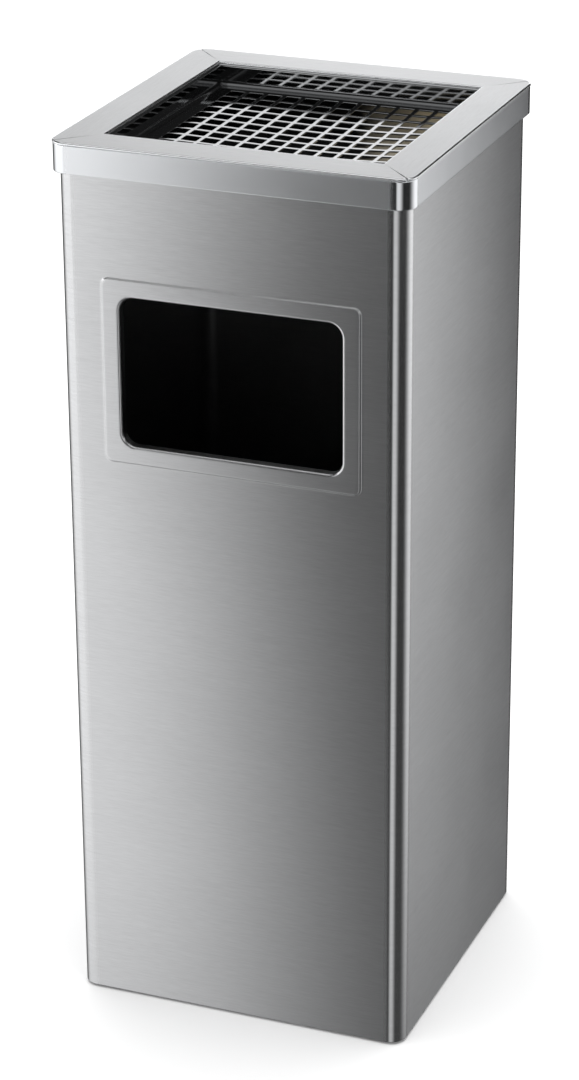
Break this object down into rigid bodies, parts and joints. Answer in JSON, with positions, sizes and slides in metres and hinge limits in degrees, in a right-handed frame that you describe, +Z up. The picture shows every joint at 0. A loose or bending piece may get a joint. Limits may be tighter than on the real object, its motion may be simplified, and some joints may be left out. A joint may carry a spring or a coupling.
{
  "type": "ashtray bin",
  "caption": "Square freestanding stainless litter bin with a front waste opening, lift-out liner, and a perforated ash tray set in a removable mitred top frame.",
  "frame": {"origin": "on the floor, under the middle of the bin", "axes": "+Z up; the waste opening faces -Y; +X is to the right seen from the front"},
  "size_m": [0.25, 0.25, 0.624],
  "materials": {
    "brushed_stainless": "fine straight-line brushed stainless steel",
    "polished_stainless": "mirror-polished stainless steel",
    "galvanised_sheet": "galvanised sheet with a soft spangle",
    "plated_steel": "bright zinc-plated steel",
    "black_rubber": "matt moulded rubber"
  },
  "bodies": {
    "body": {"body_shell": "brushed_stainless", "base_plate": "galvanised_sheet", "foot_front_left": "black_rubber", "foot_front_right": "black_rubber", "foot_back_left": "black_rubber", "foot_back_right": "black_rubber", "foot_screws": "plated_steel", "foot_washers": "plated_steel", "foot_nuts": "plated_steel"},
    "liner": {"liner_wall": "galvanised_sheet", "liner_rim_wire": "galvanised_sheet", "liner_bottom": "galvanised_sheet", "handle_ear_left": "plated_steel", "handle_ear_right": "plated_steel", "ear_rivets": "plated_steel"},
    "handle": {"liner_handle": "plated_steel"},
    "ash_pan": {"ash_pan": "polished_stainless", "pan_tab_front": "plated_steel", "pan_tab_right": "plated_steel", "pan_tab_back": "plated_steel", "pan_tab_left": "plated_steel"},
    "stub_tray": {"stub_tray": "polished_stainless"},
    "top_frame": {"frame_front": "brushed_stainless", "frame_right": "brushed_stainless", "frame_back": "brushed_stainless", "frame_left": "brushed_stainless", "frame_skirt": "polished_stainless"}
  },
  "joints": [
    {"name": "liner_lift", "type": "slide", "parent": "body", "child": "liner", "axis": [0, 0, 1], "range_m": [0, 0.62]},
    {"name": "bail_swing", "type": "hinge", "parent": "liner", "child": "handle", "pos_m": [0, 0, 0.3101], "axis": [-1, 0, 0], "range_deg": [0, 180]},
    {"name": "pan_lift", "type": "slide", "parent": "liner", "child": "ash_pan", "axis": [0, 0, 1], "range_m": [0, 0.2]},
    {"name": "tray_lift", "type": "slide", "parent": "ash_pan", "child": "stub_tray", "axis": [0, 0, 1], "range_m": [0, 0.1]},
    {"name": "frame_lift", "type": "slide", "parent": "stub_tray", "child": "top_frame", "axis": [0, 0, 1], "range_m": [0, 0.15]}
  ]
}
